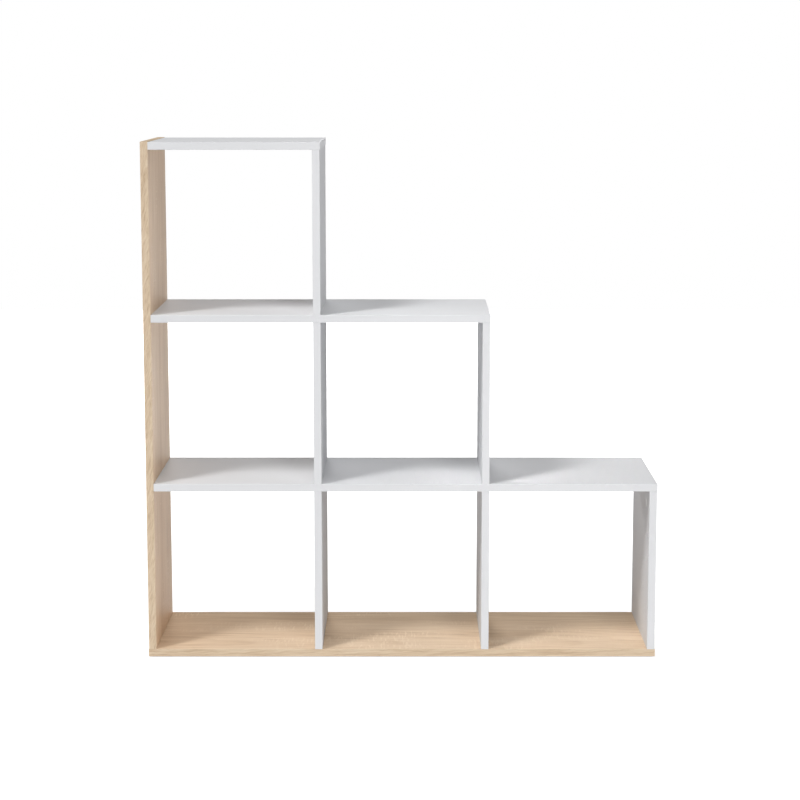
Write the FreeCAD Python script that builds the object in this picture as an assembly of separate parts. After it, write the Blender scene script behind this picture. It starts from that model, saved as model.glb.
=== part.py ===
import FreeCAD, Part
import os

# Staircase bookshelf of edge-banded boards, held by dowels, cam fittings and screws.
# Millimetres. +Z is up, the front faces -Y, the steps come down towards +X.
# The origin is on the floor, under the middle of the unit.

# Boards
board_thickness = 16.0
compartment_width = 342.0
compartment_height = 347.0
unit_depth = 290.0

# Each level is one compartment shorter than the one below it
levels = ("lower", "middle", "top")

# Edge bands glued on the front, back and free ends
band_thickness = 1.0
band_arris_radius = 0.8
arris_share_limit = 0.9

# Joint lines, measured inwards from the front and back of the unit
fastener_inset = 45.0
dowel_spacing = 32.0
face_hole_skin = 5.0

# Wooden dowels
dowel_diameter = 8.0
dowel_end_reach = 20.0
dowel_chamfer = 1.0
dowel_fit = 0.1
dowel_hole_spare = 0.5

# Cam fittings
cam_diameter = 15.0
cam_backset = 34.0
cam_skin = 3.5
cam_recess = 0.5
cam_floor = 1.0
cam_fit = 0.1
cam_slot_length = 9.0
cam_slot_width = 1.4
cam_slot_depth = 1.6
bolt_bore_diameter = 8.0
bolt_shank_diameter = 7.0
bolt_thread_diameter = 5.0
bolt_head_length = 4.0
bolt_neck_share = 0.6
bolt_neck_lead = 1.0

# Press-in caps over the cams
cap_diameter = 17.0
cap_thickness = 0.8
cap_bevel = 0.5
cap_peg_diameter = 3.4
cap_peg_depth = 1.8

# Countersunk joining screws up through the base
screw_length = 50.0
screw_head_diameter = 10.0
screw_head_rim = 1.2
screw_head_cone = 2.8
screw_shank_diameter = 7.0
screw_thread_diameter = 6.4
screw_tip_length = 4.0
screw_tip_diameter = 3.0
screw_socket_flats = 4.0
screw_socket_depth = 3.0
screw_fit = 0.1

# Nail-on floor glides
glide_diameter = 20.0
glide_height = 3.0
glide_bevel = 1.2
glide_inset = 24.0
glide_web = 1.4
nail_head_diameter = 5.0
nail_head_height = 1.0
nail_diameter = 2.0
nail_reach = 11.0
nail_point = 2.0
nail_fit = 0.1

# How far a cutting tool starts outside the face it cuts
tool_overrun = 1.0

# Two places closer than this are the same
same_place = 1e-6

# Derived sizes
steps = len(levels)
column_pitch = compartment_width + board_thickness
level_pitch = compartment_height + board_thickness
uprights_span = steps * column_pitch + board_thickness
front = -unit_depth / 2
back = unit_depth / 2
core_front = front + band_thickness
core_back = back - band_thickness
half_board = board_thickness / 2
arris_radius = min(band_arris_radius, arris_share_limit * band_thickness)
fastener_line = unit_depth / 2 - fastener_inset
dowel_line = fastener_line - dowel_spacing
face_hole_depth = board_thickness - face_hole_skin
cam_bore_depth = board_thickness - cam_skin
cam_radius = cam_diameter / 2
bolt_head_radius = cam_bore_depth - half_board - cam_floor - cam_fit
bolt_neck_radius = bolt_neck_share * bolt_head_radius

X = FreeCAD.Vector(1, 0, 0)
Y = FreeCAD.Vector(0, 1, 0)
Z = FreeCAD.Vector(0, 0, 1)

# The tools that drill each board, and the fasteners of each group
drilling = {}
groups = {}


def upright_x(column):
    """The left face of the upright that closes the given number of columns."""
    return -uprights_span / 2 + column * column_pitch


def board_z(level):
    """The underside of the base (level 0) or of a shelf."""
    return glide_height + level * level_pitch


def column_mid(column):
    return upright_x(column) + half_board


def block(low, high):
    """A box between two opposite corners."""
    size = [far - near for near, far in zip(low, high)]
    return Part.makeBox(*size, FreeCAD.Vector(*low))


def turned(profile):
    """A solid turned about Z from (radius, height) corners."""
    corners = [FreeCAD.Vector(radius, 0, height) for radius, height in profile]
    face = Part.Face(Part.makePolygon(corners + corners[:1]))
    return face.revolve(FreeCAD.Vector(), Z, 360)


def placed(shape, origin, up, along=None):
    """A copy of a shape made at the origin, with its Z turned to up and its X turned to along."""
    if along is None:
        rotation = FreeCAD.Rotation(Z, up)
    else:
        rotation = FreeCAD.Rotation(along, up.cross(along), up, "ZXY")
    copy = shape.copy()
    copy.Placement = FreeCAD.Placement(origin, rotation)
    return copy


def drill(board, radius, depth, origin, direction):
    """Adds a round hole that goes into a board from a point on its face."""
    start = origin - direction * tool_overrun
    tool = Part.makeCylinder(radius, depth + tool_overrun, start, direction)
    drilling.setdefault(board, []).append(tool)


def add(group, shape):
    groups.setdefault(group, []).append(shape)


def write(node, shape):
    shape.exportStep("parts/" + node + ".step")


# Edge bands

def band(low, high, hidden):
    """A strip with its open arrises rounded.

    Each (axis, place) in hidden is a plane where the strip is glued or butted.
    """
    strip = block(low, high)
    open_edges = []
    for edge in strip.Edges:
        middle = edge.CenterOfMass
        if all(abs(middle[axis] - place) > same_place for axis, place in hidden):
            open_edges.append(edge)
    return strip.makeFillet(arris_radius, open_edges)


def write_board_bands(board, low, high, axis, open_low, open_high):
    """The bands of a board whose core runs from low to high along axis, with its open ends named."""
    long_low = list(low)
    long_high = list(high)
    butted = []
    low_end, high_end = ("left", "right") if axis == 0 else ("bottom", "top")
    for is_open, corner, long_corner, outward, end in (
        (open_low, low, long_low, -band_thickness, low_end),
        (open_high, high, long_high, band_thickness, high_end),
    ):
        glued = corner[axis]
        if not is_open:
            butted.append((axis, glued))
            continue
        long_corner[axis] = glued + outward
        end_low = list(low)
        end_high = list(high)
        end_low[axis] = min(glued, glued + outward)
        end_high[axis] = max(glued, glued + outward)
        hidden = [(axis, glued), (1, core_front), (1, core_back)]
        write(board + "_" + end + "_band", band(end_low, end_high, hidden))
    for side, near, far, glued in (
        ("front", front, core_front, core_front),
        ("back", core_back, back, core_back),
    ):
        long_low[1] = near
        long_high[1] = far
        strip = band(long_low, long_high, butted + [(1, glued)])
        write(board + "_" + side + "_band", strip)


# Fasteners, each made at the origin

def make_dowel(low, high):
    radius = dowel_diameter / 2
    return turned([
        (0, low),
        (radius - dowel_chamfer, low),
        (radius, low + dowel_chamfer),
        (radius, high - dowel_chamfer),
        (radius - dowel_chamfer, high),
        (0, high),
    ])


def bolt_head_profile(face_to_cam):
    """The shank, neck and head of a cam bolt up to its far end. The cam's axis is at face_to_cam."""
    neck_start = face_to_cam - cam_radius - bolt_neck_lead
    head_start = face_to_cam - bolt_head_length / 2
    head_end = face_to_cam + bolt_head_length / 2
    return [
        (bolt_shank_diameter / 2, neck_start),
        (bolt_neck_radius, neck_start),
        (bolt_neck_radius, head_start),
        (bolt_head_radius, head_start),
        (bolt_head_radius, head_end),
        (0, head_end),
    ]


def make_single_bolt():
    """Z runs from the face it is screwed into towards the cam."""
    thread_end = dowel_hole_spare - face_hole_depth
    return turned([
        (0, thread_end),
        (bolt_thread_diameter / 2, thread_end),
        (bolt_thread_diameter / 2, 0),
        (bolt_shank_diameter / 2, 0),
    ] + bolt_head_profile(cam_backset))


def make_double_bolt():
    """Centred in the shelf that it passes through."""
    upper = bolt_head_profile(half_board + cam_backset)
    lower = [(radius, -height) for radius, height in reversed(upper)]
    return turned(lower + upper)


def make_cam():
    """Z runs into the board from the face, X towards the bolt."""
    body = Part.makeCylinder(cam_radius, cam_bore_depth - cam_recess, Z * cam_recess)
    outside = cam_diameter
    head_room = bolt_head_radius + cam_fit
    neck_room = bolt_neck_radius + cam_fit
    chamber_radius = (bolt_head_radius ** 2 + (bolt_head_length / 2) ** 2) ** 0.5 + cam_fit
    chamber = Part.makeCylinder(chamber_radius, 2 * head_room, Z * (half_board - head_room))
    neck_gate = Part.makeCylinder(outside, 2 * neck_room, Z * (half_board - neck_room), Z, 90)
    neck_bore = Part.makeCylinder(neck_room, outside, Z * half_board, X)
    entry = Part.makeCylinder(head_room, outside, Z * half_board, Y)
    slot_half = cam_slot_length / 2
    slot_side = cam_slot_width / 2
    slot_end = cam_recess + cam_slot_depth
    slot_along = block((-slot_half, -slot_side, 0), (slot_half, slot_side, slot_end))
    slot_across = block((-slot_side, -slot_half, 0), (slot_side, slot_half, slot_end))
    peg_hole = Part.makeCylinder(cap_peg_diameter / 2 + cam_fit, cam_recess + cap_peg_depth + cam_fit)
    return body.cut([chamber, neck_gate, neck_bore, entry, slot_along, slot_across, peg_hole])


def make_cap():
    """Z runs into the board from the face that the cap's flange lies on."""
    radius = cap_diameter / 2
    peg_radius = cap_peg_diameter / 2
    return turned([
        (0, -cap_thickness),
        (radius - cap_bevel, -cap_thickness),
        (radius, cap_bevel - cap_thickness),
        (radius, 0),
        (peg_radius, 0),
        (peg_radius, cam_recess + cap_peg_depth),
        (0, cam_recess + cap_peg_depth),
    ])


def screw_profile(gap):
    """Z runs up from the underside of the base. A gap widens the profile into its hole."""
    head = screw_head_diameter / 2 + gap
    shank = screw_shank_diameter / 2 + gap
    thread = screw_thread_diameter / 2 + gap
    tip = screw_tip_diameter / 2 + gap
    return [
        (0, 0),
        (head, 0),
        (head, screw_head_rim),
        (shank, screw_head_rim + screw_head_cone),
        (shank, board_thickness),
        (thread, board_thickness),
        (thread, screw_length - screw_tip_length + gap),
        (tip, screw_length + gap),
        (0, screw_length + gap),
    ]


def make_screw():
    corner_radius = screw_socket_flats / 3 ** 0.5
    turns = [FreeCAD.Rotation(Z, 60 * side) for side in range(7)]
    outline = Part.makePolygon([turn.multVec(X * corner_radius) for turn in turns])
    socket = Part.Face(outline).extrude(Z * screw_socket_depth)
    return turned(screw_profile(0)).cut(socket)


def make_glide():
    """Z runs up from the floor."""
    radius = glide_diameter / 2
    head_hole = nail_head_diameter / 2 + nail_fit
    nail_hole = nail_diameter / 2 + nail_fit
    seat = glide_height - glide_web
    return turned([
        (head_hole, 0),
        (radius - glide_bevel, 0),
        (radius, glide_bevel),
        (radius, glide_height),
        (nail_hole, glide_height),
        (nail_hole, seat),
        (head_hole, seat),
    ])


def make_nail():
    seat = glide_height - glide_web
    tip = glide_height + nail_reach
    return turned([
        (0, seat - nail_head_height),
        (nail_head_diameter / 2, seat - nail_head_height),
        (nail_head_diameter / 2, seat),
        (nail_diameter / 2, seat),
        (nail_diameter / 2, tip - nail_point),
        (0, tip),
    ])


short_dowel = make_dowel(dowel_hole_spare - face_hole_depth, dowel_end_reach)
through_dowel = make_dowel(-half_board - dowel_end_reach, half_board + dowel_end_reach)
single_bolt = make_single_bolt()
double_bolt = make_double_bolt()
cam = make_cam()
cap = make_cap()
screw = make_screw()
screw_hole = turned(screw_profile(screw_fit))
glide = make_glide()
nail = make_nail()


# Joints. Each one drills its boards and adds its fasteners.

def join_dowel(face_board, end_board, origin, direction, group):
    """A dowel out of the face of one board, along direction, into the end of another."""
    radius = dowel_diameter / 2 + dowel_fit
    drill(face_board, radius, face_hole_depth, origin, -direction)
    drill(end_board, radius, dowel_end_reach + dowel_hole_spare, origin, direction)
    add(group, placed(short_dowel, origin, direction))


def fit_cam(board, board_end, to_cam, face_shift, into_board, kind):
    """A cam and its cap in a board, with the bore for the bolt from the board's end."""
    drill(board, bolt_bore_diameter / 2, cam_backset, board_end, to_cam)
    centre = board_end + to_cam * cam_backset + face_shift
    drill(board, cam_radius + cam_fit, cam_bore_depth, centre, into_board)
    add(kind + "_cams", placed(cam, centre, into_board, -to_cam))
    add(kind + "_cam_caps", placed(cap, centre, into_board))


def screw_single_bolt(board, origin, direction, group):
    """A cam bolt screwed into the face of a board, standing out along direction."""
    drill(board, bolt_thread_diameter / 2 + cam_fit, face_hole_depth, origin, -direction)
    add(group, placed(single_bolt, origin, direction))


def join_to_base(upright, column):
    base_top = board_z(0) + board_thickness
    for side in (-1, 1):
        x = column_mid(column)
        origin = FreeCAD.Vector(x, side * fastener_line, board_z(0))
        hole = placed(screw_hole, origin, Z)
        drilling.setdefault("base_panel", []).append(hole)
        drilling.setdefault(upright, []).append(hole)
        add("base_screws", placed(screw, origin, Z))
        join_dowel("base_panel", upright, FreeCAD.Vector(x, side * dowel_line, base_top), Z, "base_dowels")


def join_to_side(shelf, level):
    inner_x = upright_x(0) + board_thickness
    z = board_z(level) + half_board
    for side in (-1, 1):
        origin = FreeCAD.Vector(inner_x, side * fastener_line, z)
        screw_single_bolt("left_side_panel", origin, X, "side_cam_bolts")
        fit_cam(shelf, origin, X, Z * -half_board, Z, "shelf")
        join_dowel("left_side_panel", shelf, FreeCAD.Vector(inner_x, side * dowel_line, z), X, "side_dowels")


def join_end(shelf, level, upright, column):
    """The last upright of a level, under the right end of its shelf."""
    x = column_mid(column)
    z = board_z(level)
    for side in (-1, 1):
        origin = FreeCAD.Vector(x, side * fastener_line, z)
        screw_single_bolt(shelf, origin, -Z, "end_cam_bolts")
        fit_cam(upright, origin, -Z, X * -half_board, X, "upright")
        join_dowel(shelf, upright, FreeCAD.Vector(x, side * dowel_line, z), -Z, "end_dowels")


def join_cross(shelf, level, lower_upright, upper_upright, column):
    """An upright that stands above another, with the shelf between them."""
    x = column_mid(column)
    underside = board_z(level)
    for side in (-1, 1):
        dowel_radius = dowel_diameter / 2 + dowel_fit
        dowel_depth = dowel_end_reach + dowel_hole_spare
        for y, radius in ((side * fastener_line, bolt_bore_diameter / 2), (side * dowel_line, dowel_radius)):
            drill(shelf, radius, board_thickness + tool_overrun, FreeCAD.Vector(x, y, underside), Z)
        for upright, z, away in (
            (lower_upright, underside, -Z),
            (upper_upright, underside + board_thickness, Z),
        ):
            fit_cam(upright, FreeCAD.Vector(x, side * fastener_line, z), away, X * -half_board, X, "upright")
            drill(upright, dowel_radius, dowel_depth, FreeCAD.Vector(x, side * dowel_line, z), away)
        middle = underside + half_board
        add("through_cam_bolts", placed(double_bolt, FreeCAD.Vector(x, side * fastener_line, middle), Z))
        add("through_dowels", placed(through_dowel, FreeCAD.Vector(x, side * dowel_line, middle), Z))


def upright_name(level, column):
    """Levels count from 1 at the floor. The last upright of a level is its end panel."""
    place = levels[level - 1]
    if column == steps + 1 - level:
        return place + "_end_panel"
    return place + "_upright_" + str(column)


def shelf_name(level):
    return levels[level - 1] + "_shelf"


# Boards: where each core runs, which axis is its length, and which of its ends are open
boards = {}
top_of_shelves = board_z(steps) + board_thickness
boards["base_panel"] = (
    (upright_x(0), core_front, board_z(0)),
    (upright_x(steps) + board_thickness, core_back, board_z(0) + board_thickness),
    0, True, True,
)
boards["left_side_panel"] = (
    (upright_x(0), core_front, board_z(0) + board_thickness),
    (upright_x(0) + board_thickness, core_back, top_of_shelves),
    2, False, True,
)
join_to_base("left_side_panel", 0)
for level in range(1, steps + 1):
    last_column = steps + 1 - level
    shelf = shelf_name(level)
    boards[shelf] = (
        (upright_x(0) + board_thickness, core_front, board_z(level)),
        (upright_x(last_column) + board_thickness, core_back, board_z(level) + board_thickness),
        0, False, True,
    )
    join_to_side(shelf, level)
    for column in range(1, last_column + 1):
        upright = upright_name(level, column)
        boards[upright] = (
            (upright_x(column), core_front, board_z(level - 1) + board_thickness),
            (upright_x(column) + board_thickness, core_back, board_z(level)),
            2, False, False,
        )
        if level == 1:
            join_to_base(upright, column)
        if column == last_column:
            join_end(shelf, level, upright, column)
        else:
            join_cross(shelf, level, upright, upright_name(level + 1, column), column)

# Floor glides under the uprights, drawn in from the ends of the base
glide_places = [column_mid(column) for column in range(1, steps)]
glide_places.append(-uprights_span / 2 + glide_inset)
glide_places.append(uprights_span / 2 - glide_inset)
for x in glide_places:
    for side in (-1, 1):
        foot = FreeCAD.Vector(x, side * (unit_depth / 2 - glide_inset), 0)
        add("floor_glides", placed(glide, foot, Z))
        add("glide_nails", placed(nail, foot, Z))
        nail_radius = nail_diameter / 2 + nail_fit
        drill("base_panel", nail_radius, nail_reach + nail_fit, foot + Z * glide_height, Z)

# The files
os.makedirs("parts", exist_ok=True)
for board, (low, high, axis, open_low, open_high) in boards.items():
    drilled = block(low, high).cut(drilling[board])
    write(board, drilled.Solids[0])
    write_board_bands(board, low, high, axis, open_low, open_high)
for group, pieces in groups.items():
    write(group, Part.makeCompound([solid for piece in pieces for solid in piece.Solids]))
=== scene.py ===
import math

import bpy
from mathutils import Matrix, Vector

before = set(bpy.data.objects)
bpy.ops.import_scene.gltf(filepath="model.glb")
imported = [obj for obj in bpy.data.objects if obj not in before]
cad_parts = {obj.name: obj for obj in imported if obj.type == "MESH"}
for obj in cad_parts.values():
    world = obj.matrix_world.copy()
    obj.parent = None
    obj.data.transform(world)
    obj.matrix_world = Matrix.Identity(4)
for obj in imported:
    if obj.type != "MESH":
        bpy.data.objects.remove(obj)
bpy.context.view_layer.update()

MILLIMETRE = 0.001
OPAQUE = 1.0
WHITE = (1.0, 1.0, 1.0, OPAQUE)

# Linear colours of the finishes: oak by its tone, and the others from darkest to palest
OAK_STOPS = (
    (0.22, (0.575, 0.425, 0.285)),
    (0.50, (0.715, 0.560, 0.400)),
    (0.80, (0.800, 0.655, 0.490)),
)
BOARD_WHITE = (0.785, 0.790, 0.805), (0.810, 0.815, 0.830)
EDGING_WHITE = (0.788, 0.794, 0.811), (0.823, 0.828, 0.844)
BEECH = (0.560, 0.360, 0.205), (0.730, 0.530, 0.345)
ZINC = (0.470, 0.475, 0.480), (0.660, 0.665, 0.670)
BOLT_STEEL = (0.560, 0.570, 0.580), (0.740, 0.745, 0.750)
SCREW_STEEL = (0.540, 0.515, 0.440), (0.720, 0.690, 0.590)
CAP_WHITE = (0.730, 0.732, 0.735), (0.780, 0.782, 0.785)
GLIDE_GREY = (0.600, 0.605, 0.600), (0.680, 0.685, 0.680)
FLOOR_GREY = (0.790, 0.790, 0.790), (0.810, 0.810, 0.810)

# What the oak colours are multiplied by on the edging, the base and the left side. The base and
# the left side are lighter, warmer copies of the same oak foil: painted light on the base, and a
# painted sheen on the left side.
EDGING_TINT = (1.0, 1.0, 1.0)
BASE_PAINTED_LIGHT = (1.11, 1.085, 1.085)
SIDE_PAINTED_SHEEN = (1.12, 1.04, 1.00)

# The log that an oak board was cut from: its sizes in metres, and its slope to the board
RING_WIDTH = 0.011
LOG_DEPTH = 0.05
LOG_WANDER = 0.10
LOG_RIPPLE = 0.014
LOG_SLOPE = 0.06

# The shares of a ring where its tone has risen, and where it starts to fall
RING_RISE_END = 0.16
RING_FALL_START = 0.45

# How much each mark counts in the tone of an oak board
RING_WEIGHT = 0.12
STREAK_WEIGHT = 0.95
HAIR_WEIGHT = 0.30
BROAD_WEIGHT = 0.55
PORE_WEIGHT = -0.10
SAW_WEIGHT = 0.24

# How much the dark flecks count in the tone of a beech dowel
FLECK_WEIGHT = -0.25

# Strokes on the oak edging: their slant, how many to a metre, and the waves in them
SLIGHT_SLANT, STEEP_SLANT = math.radians(-3), math.radians(-12)
LONG_STROKES, SHORT_STROKES = 14.0, 45.0
WAVES_PER_METRE = 45.0
WAVE_WIDTH = 0.007

# Where most values of a noise lie, and most values of a wood's tone
NOISE_SPAN = (0.3, 0.7)
TONE_SPAN = (0.2, 0.8)

# What the lamps aim at
OBJECT_MIDDLE = (0.0, 0.0, 0.5)
LOW_RIGHT = (0.31, 0.0, 0.33)


class Finish:
    """The nodes of one material, with a short call for each kind that is used."""

    def __init__(self, name, specular, metallic=0.0):
        self.material = bpy.data.materials.new(name)
        self.material.use_nodes = True
        self.nodes = self.material.node_tree.nodes
        self.links = self.material.node_tree.links
        self.surface = self.nodes["Principled BSDF"]
        self.surface.inputs["Specular IOR Level"].default_value = specular
        self.surface.inputs["Metallic"].default_value = metallic

    def feed(self, socket, value):
        """Link a node's output to a socket, or give the socket a plain value."""
        if isinstance(value, bpy.types.NodeSocket):
            self.links.new(value, socket)
        else:
            socket.default_value = value

    def place(self, axes, start=(0.0, 0.0, 0.0), turn=0.0):
        """Object coordinates in the order along, across, into the piece."""
        coordinates = self.nodes.new("ShaderNodeTexCoord")
        split = self.nodes.new("ShaderNodeSeparateXYZ")
        join = self.nodes.new("ShaderNodeCombineXYZ")
        mapping = self.nodes.new("ShaderNodeMapping")
        self.links.new(coordinates.outputs["Object"], split.inputs[0])
        for socket, axis in zip(join.inputs, axes):
            self.links.new(split.outputs[axis], socket)
        self.links.new(join.outputs[0], mapping.inputs["Vector"])
        mapping.inputs["Location"].default_value = start
        mapping.inputs["Rotation"].default_value = (0.0, 0.0, turn)
        return mapping.outputs[0]

    def calculate(self, operation, *values):
        """One calculation on numbers or node outputs."""
        node = self.nodes.new("ShaderNodeMath")
        node.operation = operation
        for socket, value in zip(node.inputs, values):
            self.feed(socket, value)
        return node.outputs[0]

    def length(self, vector):
        """Distance of a point from the start of its coordinates."""
        node = self.nodes.new("ShaderNodeVectorMath")
        node.operation = "LENGTH"
        self.links.new(vector, node.inputs[0])
        return node.outputs["Value"]

    def noise(self, vector, along, across=None, into=None, detail=2.0, roughness=0.5):
        """Noise with its own number of features per metre along, across and into the piece."""
        if across is None:
            across = along
        if into is None:
            into = across
        stretch = self.nodes.new("ShaderNodeVectorMath")
        stretch.operation = "MULTIPLY"
        self.links.new(vector, stretch.inputs[0])
        stretch.inputs[1].default_value = (along, across, into)
        node = self.nodes.new("ShaderNodeTexNoise")
        self.links.new(stretch.outputs[0], node.inputs["Vector"])
        node.inputs["Scale"].default_value = 1.0
        node.inputs["Detail"].default_value = detail
        node.inputs["Roughness"].default_value = roughness
        return node.outputs["Fac"]

    def spread(self, value, low, high, new_low=0.0, new_high=1.0):
        """Take the range low to high to a new range, and stop at its ends."""
        node = self.nodes.new("ShaderNodeMapRange")
        for socket, number in zip(node.inputs, (value, low, high, new_low, new_high)):
            self.feed(socket, number)
        return node.outputs[0]

    def ramp(self, value, *stops):
        """Colour by value, from (position, colour) stops in rising order."""
        node = self.nodes.new("ShaderNodeValToRGB")
        self.links.new(value, node.inputs[0])
        while len(node.color_ramp.elements) < len(stops):
            node.color_ramp.elements.new(1.0)
        for element, (position, colour) in zip(node.color_ramp.elements, stops):
            element.position = position
            element.color = (*colour, OPAQUE)
        return node.outputs[0]

    def total(self, *terms):
        """Sum of (value, weight) terms, each counted from its middle of 0.5."""
        result = 0.5
        for value, weight in terms:
            offset = -0.5 * weight
            part = self.calculate("MULTIPLY_ADD", value, weight, offset)
            result = self.calculate("ADD", part, result)
        return result

    def finish(self, colour, roughness, height, depth):
        """Set colour and roughness, and bump by a height of depth metres."""
        self.feed(self.surface.inputs["Base Color"], colour)
        self.feed(self.surface.inputs["Roughness"], roughness)
        bump = self.nodes.new("ShaderNodeBump")
        bump.inputs["Distance"].default_value = depth
        self.links.new(height, bump.inputs["Height"])
        self.links.new(bump.outputs[0], self.surface.inputs["Normal"])
        return self.material

    def clouded(self, cloud, fine, colours, colour_span, roughness, depth):
        """Colour from two (noise, weight) terms, with gloss and relief from the fine one."""
        tone = self.total(cloud, fine)
        colour = self.ramp(tone, *zip(colour_span, colours))
        gloss = self.spread(fine[0], *NOISE_SPAN, *roughness)
        return self.finish(colour, gloss, height=fine[0], depth=depth)


def oak(name, axes, start, tint, specular, roughness):
    """Pale rough-sawn oak foil on a board, with its grain along the first axis."""
    look = Finish(name, specular)
    grain = look.place(axes, start)
    split = look.nodes.new("ShaderNodeSeparateXYZ")
    look.links.new(grain, split.inputs[0])
    along, across = split.outputs[0], split.outputs[1]

    # Growth rings of a log that lies aslant under the board
    bend = look.noise(grain, along=1.6, across=7.0)
    ripple = look.noise(grain, along=9.0, across=26.0)
    sideways = look.calculate("MULTIPLY_ADD", bend, LOG_WANDER, across)
    below = look.calculate("MULTIPLY_ADD", along, LOG_SLOPE, LOG_DEPTH)
    below = look.calculate("MULTIPLY_ADD", ripple, LOG_RIPPLE, below)
    log = look.nodes.new("ShaderNodeCombineXYZ")
    look.feed(log.inputs[0], sideways)
    look.feed(log.inputs[1], below)
    ring = look.calculate("DIVIDE", look.length(log.outputs[0]), RING_WIDTH)
    ring = look.calculate("FRACT", ring)
    rise = look.spread(ring, 0.0, RING_RISE_END)
    fall = look.spread(ring, RING_FALL_START, 1.0, new_low=1.0, new_high=0.0)
    rings = look.calculate("MULTIPLY", rise, fall)

    # Fine streaks, hair lines, broad bands of tone, pores and the marks of the saw
    streaks = look.noise(grain, along=6.0, across=230.0, detail=4.0, roughness=0.65)
    hair = look.noise(grain, along=22.0, across=620.0)
    broad = look.noise(grain, along=1.1, across=16.0)
    pores = look.noise(grain, along=75.0, across=900.0, detail=1.0)
    pores = look.spread(pores, low=0.60, high=0.72)
    saw = look.noise(grain, along=240.0, across=34.0, detail=1.0)
    saw = look.spread(saw, low=0.54, high=0.68)
    saw_place = look.noise(grain, along=5.0, across=15.0, detail=1.0)
    saw_place = look.spread(saw_place, low=0.52, high=0.66)
    saw = look.calculate("MULTIPLY", saw, saw_place)

    tone = look.total(
        (rings, RING_WEIGHT), (streaks, STREAK_WEIGHT), (hair, HAIR_WEIGHT), (broad, BROAD_WEIGHT),
    )
    tone = look.calculate("MULTIPLY_ADD", pores, PORE_WEIGHT, tone)
    tone = look.calculate("MULTIPLY_ADD", saw, SAW_WEIGHT, tone)
    return oak_finish(look, tone, tint, roughness)


def oak_edging(name, axes, start, slant, strokes_per_metre):
    """Oak-print edging, with short wavy strokes aslant to its length."""
    look = Finish(name, specular=0.0)
    grain = look.place(axes, start, slant)
    wobble = look.nodes.new("ShaderNodeTexNoise")
    wobble.inputs["Scale"].default_value = WAVES_PER_METRE
    look.links.new(grain, wobble.inputs["Vector"])
    wave = look.nodes.new("ShaderNodeVectorMath")
    wave.operation = "MULTIPLY_ADD"
    look.links.new(wobble.outputs["Color"], wave.inputs[0])
    wave.inputs[1].default_value = (0.0, WAVE_WIDTH, 0.0)
    look.links.new(grain, wave.inputs[2])
    wavy = wave.outputs[0]
    strokes = look.noise(
        wavy, along=strokes_per_metre, across=330.0, into=60.0, detail=3.0, roughness=0.6,
    )
    hair = look.noise(wavy, along=2.0 * strokes_per_metre, across=900.0, into=60.0)
    broad = look.noise(grain, along=6.0, across=40.0, into=10.0)
    tone = look.total((strokes, 1.25), (hair, 0.35), (broad, 0.50))
    return oak_finish(look, tone, EDGING_TINT, roughness=(0.60, 0.50))


def oak_finish(look, tone, tint, roughness):
    """Colour, gloss and relief of oak from its tone, which is 0.5 on average."""
    stops = []
    for position, colour in OAK_STOPS:
        stops.append((position, [part * factor for part, factor in zip(colour, tint)]))
    gloss = look.spread(tone, *TONE_SPAN, *roughness)
    return look.finish(look.ramp(tone, *stops), gloss, height=tone, depth=0.25 * MILLIMETRE)


def melamine(name):
    """White coated board, with the soft pearl of its press plate."""
    look = Finish(name, specular=0.0)
    spot = look.place("XYZ")
    cloud = look.noise(spot, along=3.0, detail=3.0)
    pearl = look.noise(spot, along=420.0, detail=3.0, roughness=0.6)
    return look.clouded(
        (cloud, 0.9), (pearl, 0.35), BOARD_WHITE, colour_span=(0.25, 0.75),
        roughness=(0.62, 0.52), depth=0.03 * MILLIMETRE,
    )


def edging(name, axes):
    """White plastic edging, with the faint draw lines of its extrusion."""
    look = Finish(name, specular=0.08)
    spot = look.place(axes)
    cloud = look.noise(spot, along=4.0, across=30.0)
    lines = look.noise(spot, along=5.0, across=700.0)
    return look.clouded(
        (cloud, 0.7), (lines, 0.5), EDGING_WHITE, colour_span=(0.25, 0.75),
        roughness=(0.66, 0.56), depth=0.02 * MILLIMETRE,
    )


def metal(name, colours, grit_per_metre, roughness):
    """Plated or cast metal: cloudy colour, with gloss that varies."""
    look = Finish(name, specular=0.5, metallic=1.0)
    spot = look.place("XYZ")
    cloud = look.noise(spot, along=180.0, detail=3.0)
    grit = look.noise(spot, along=grit_per_metre, detail=3.0)
    return look.clouded(
        (cloud, 1.0), (grit, 0.5), colours, colour_span=(0.2, 0.8),
        roughness=roughness, depth=0.04 * MILLIMETRE,
    )


def moulded(name, colours, sparks_per_metre):
    """Moulded plastic, with the fine spark texture of its tool."""
    look = Finish(name, specular=0.4)
    spot = look.place("XYZ")
    cloud = look.noise(spot, along=60.0)
    spark = look.noise(spot, along=sparks_per_metre)
    return look.clouded(
        (cloud, 0.8), (spark, 0.5), colours, colour_span=(0.25, 0.75),
        roughness=(0.48, 0.58), depth=0.05 * MILLIMETRE,
    )


def beech(name, axes):
    """Plain beech for the dowels, with its short dark flecks."""
    look = Finish(name, specular=0.3)
    grain = look.place(axes)
    streaks = look.noise(grain, along=20.0, across=700.0, detail=3.0)
    flecks = look.noise(grain, along=260.0, across=1500.0, detail=1.0)
    flecks = look.spread(flecks, low=0.58, high=0.70)
    tone = look.total((streaks, 1.2))
    tone = look.calculate("MULTIPLY_ADD", flecks, FLECK_WEIGHT, tone)
    colour = look.ramp(tone, *zip(TONE_SPAN, BEECH))
    roughness = look.spread(tone, *TONE_SPAN, new_low=0.70, new_high=0.58)
    return look.finish(colour, roughness, height=tone, depth=0.15 * MILLIMETRE)


def seen_rays(nodes, links):
    """One for rays that show the background: to the camera, gloss and glass."""
    path = nodes.new("ShaderNodeLightPath")
    value = path.outputs["Is Camera Ray"]
    for output in ("Is Glossy Ray", "Is Transmission Ray"):
        larger = nodes.new("ShaderNodeMath")
        larger.operation = "MAXIMUM"
        links.new(value, larger.inputs[0])
        links.new(path.outputs[output], larger.inputs[1])
        value = larger.outputs[0]
    return value


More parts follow.
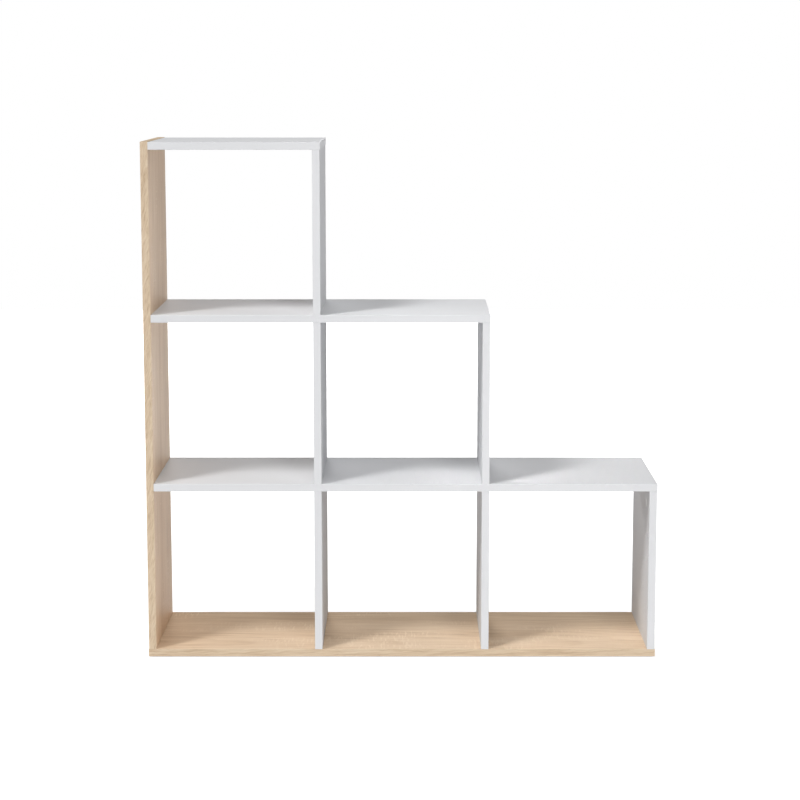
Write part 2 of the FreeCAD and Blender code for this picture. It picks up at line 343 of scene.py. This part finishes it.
def soft_box(name, bearing, rise, distance, size, watts, aim=OBJECT_MIDDLE, spread=180):
    """A lamp of a width and height, set by bearing and rise in degrees from what it aims at."""
    light = bpy.data.lights.new(name, "AREA")
    light.shape = "RECTANGLE"
    light.size, light.size_y = size
    light.energy = watts
    light.spread = math.radians(spread)
    lamp = bpy.data.objects.new(name, light)
    bpy.context.collection.objects.link(lamp)
    level = math.cos(math.radians(rise))
    way = Vector((
        math.sin(math.radians(bearing)) * level,
        -math.cos(math.radians(bearing)) * level,
        math.sin(math.radians(rise)),
    ))
    lamp.location = Vector(aim) + way * distance
    lamp.rotation_mode = "QUATERNION"
    lamp.rotation_quaternion = way.to_track_quat("Z", "Y")
    lamp.visible_camera = False


# The axes along, across and into a piece: bands by the way they run, then the boards
ALONG_X, ALONG_Y, ALONG_Z, TOP_END = "XZY", "YZX", "ZXY", "YXZ"
LEVEL_GRAIN, UPRIGHT_GRAIN = "XYZ", "ZYX"

# Oak boards and their bands
finishes = {
    # The base's oak is made lighter and warmer than its edging's: painted light.
    "base_panel": oak(
        "oak_base_board", LEVEL_GRAIN, start=(0.31, 0.04, 0.0), tint=BASE_PAINTED_LIGHT,
        specular=0.0, roughness=(0.64, 0.50),
    ),
    # The left side's oak is made lighter and warmer than its edging's: a painted sheen.
    "left_side_panel": oak(
        "oak_left_board", UPRIGHT_GRAIN, start=(-1.37, 0.03, 0.0), tint=SIDE_PAINTED_SHEEN,
        specular=0.22, roughness=(0.58, 0.46),
    ),
}
oak_bands = {
    ("base_panel", ALONG_X): oak_edging(
        "oak_base_edging", ALONG_X, (0.2, 0.0, 0.5), SLIGHT_SLANT, LONG_STROKES,
    ),
    ("base_panel", ALONG_Y): oak_edging(
        "oak_base_end_edging", ALONG_Y, (0.9, 0.0, 0.3), SLIGHT_SLANT, LONG_STROKES,
    ),
    ("left_side_panel", ALONG_Z): oak_edging(
        "oak_left_edging", ALONG_Z, (-1.25, 0.0, 0.2), STEEP_SLANT, SHORT_STROKES,
    ),
    ("left_side_panel", TOP_END): oak_edging(
        "oak_left_end_edging", TOP_END, (0.6, 0.0, 0.1), STEEP_SLANT, SHORT_STROKES,
    ),
}

# White boards, and the bands of all boards
LEVEL_BOARDS = ("base_panel", "lower_shelf", "middle_shelf", "top_shelf")
UPRIGHT_BOARDS = (
    "left_side_panel", "lower_upright_1", "lower_upright_2", "lower_end_panel",
    "middle_upright_1", "middle_end_panel", "top_end_panel",
)
END_AXES = {"left": ALONG_Y, "right": ALONG_Y, "top": TOP_END}
white_board = melamine("white_board")
white_bands = {}
for axes in (ALONG_X, ALONG_Y, ALONG_Z):
    white_bands[axes] = edging("white_edging_" + axes.lower(), axes)
for board in LEVEL_BOARDS + UPRIGHT_BOARDS:
    finishes.setdefault(board, white_board)
    long_axes = ALONG_X if board in LEVEL_BOARDS else ALONG_Z
    for side in ("front", "back", "left", "right", "top"):
        axes = END_AXES.get(side, long_axes)
        band = board + "_" + side + "_band"
        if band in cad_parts:
            finishes[band] = oak_bands.get((board, axes)) or white_bands[axes]

# Fasteners, caps and glides
upright_dowel = beech("beech_upright", ALONG_Z)
level_dowel = beech("beech_level", LEVEL_GRAIN)
zinc_cam = metal("zinc_cam", ZINC, grit_per_metre=1600.0, roughness=(0.38, 0.56))
bolt_steel = metal("bolt_steel", BOLT_STEEL, grit_per_metre=900.0, roughness=(0.24, 0.38))
screw_steel = metal("screw_steel", SCREW_STEEL, grit_per_metre=900.0, roughness=(0.26, 0.40))
white_cap = moulded("white_cap", CAP_WHITE, sparks_per_metre=2200.0)
glide_plastic = moulded("glide_plastic", GLIDE_GREY, sparks_per_metre=1500.0)
finishes.update({
    "base_screws": screw_steel,
    "base_dowels": upright_dowel,
    "side_dowels": level_dowel,
    "end_dowels": upright_dowel,
    "through_dowels": upright_dowel,
    "side_cam_bolts": bolt_steel,
    "end_cam_bolts": bolt_steel,
    "through_cam_bolts": bolt_steel,
    "shelf_cams": zinc_cam,
    "upright_cams": zinc_cam,
    "shelf_cam_caps": white_cap,
    "upright_cam_caps": white_cap,
    "floor_glides": glide_plastic,
    "glide_nails": bolt_steel,
})
for name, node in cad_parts.items():
    node.data.materials.clear()
    node.data.materials.append(finishes[name])

# Plain pale floor, which shines white to the camera and keeps the object's shadow
FLOOR_SIZE = 12.0
FLOOR_ROUGHNESS = 0.9
GLOW_NEAR, GLOW_FAR = 0.66, 1.0
GLOW_START, GLOW_END = 1.0, 2.4
bpy.ops.mesh.primitive_plane_add(size=FLOOR_SIZE, location=(0.0, 0.0, 0.0))
floor = bpy.context.object
floor.name = "floor"
ground = Finish("floor", specular=0.0)
spot = ground.place("XYZ")
cloud = ground.noise(spot, along=2.0)
glow = ground.spread(ground.length(spot), GLOW_START, GLOW_END, GLOW_NEAR, GLOW_FAR)
glow = ground.calculate("MULTIPLY", glow, seen_rays(ground.nodes, ground.links))
ground.surface.inputs["Emission Color"].default_value = WHITE
ground.feed(ground.surface.inputs["Emission Strength"], glow)
floor_colour = ground.ramp(cloud, *zip(NOISE_SPAN, FLOOR_GREY))
ground.finish(floor_colour, FLOOR_ROUGHNESS, height=cloud, depth=0.1 * MILLIMETRE)
floor.data.materials.append(ground.material)

# White surroundings for the eye, and a low even light from all round
AMBIENT = 0.078
world = bpy.data.worlds.new("studio")
bpy.context.scene.world = world
world.use_nodes = True
sky_nodes = world.node_tree.nodes
sky_links = world.node_tree.links
light_sky = sky_nodes["Background"]
light_sky.inputs["Color"].default_value = WHITE
light_sky.inputs["Strength"].default_value = AMBIENT
white_sky = sky_nodes.new("ShaderNodeBackground")
white_sky.inputs["Color"].default_value = WHITE
white_sky.inputs["Strength"].default_value = 1.0
sky_mix = sky_nodes.new("ShaderNodeMixShader")
sky_links.new(seen_rays(sky_nodes, sky_links), sky_mix.inputs[0])
sky_links.new(light_sky.outputs[0], sky_mix.inputs[1])
sky_links.new(white_sky.outputs[0], sky_mix.inputs[2])
sky_links.new(sky_mix.outputs[0], sky_nodes["World Output"].inputs["Surface"])

# Key from the upper left, a weak narrow beam that helps it at the low right, and fills all round
soft_box("key_box", bearing=-48, rise=54, distance=28.0, size=(5.0, 9.0), watts=3225.0)
soft_box(
    "low_box", bearing=-48, rise=54, distance=8.0, size=(0.3, 0.3), watts=0.085,
    aim=LOW_RIGHT, spread=5,
)
soft_box("front_box", bearing=0, rise=10, distance=14.0, size=(3.0, 3.0), watts=530.0)
soft_box("fill_box", bearing=20, rise=40, distance=14.0, size=(3.0, 3.0), watts=310.0)
soft_box("right_box", bearing=82, rise=30, distance=9.0, size=(2.0, 2.0), watts=155.0)
soft_box("left_box", bearing=-90, rise=10, distance=9.0, size=(2.0, 2.0), watts=65.0)
soft_box("back_box", bearing=-172, rise=20, distance=9.0, size=(2.0, 2.0), watts=370.0)

# Camera at the photograph's angle, with a slight tilt in place of most of its shift
CAMERA_PLACE = (0.011, -4.157, 1.249)
CAMERA_TILT = math.radians(82.22)
SENSOR_WIDTH_MM = 36.0
FOCAL_LENGTH_MM = 86.4
lens = bpy.data.cameras.new("camera")
lens.sensor_width = SENSOR_WIDTH_MM
lens.lens = FOCAL_LENGTH_MM
lens.shift_x = -0.0086
lens.shift_y = -0.08
camera = bpy.data.objects.new("camera", lens)
camera.location = CAMERA_PLACE
camera.rotation_euler = (CAMERA_TILT, 0.0, 0.0)
bpy.context.collection.objects.link(camera)
bpy.context.scene.camera = camera
bpy.context.scene.view_settings.view_transform = "Standard"
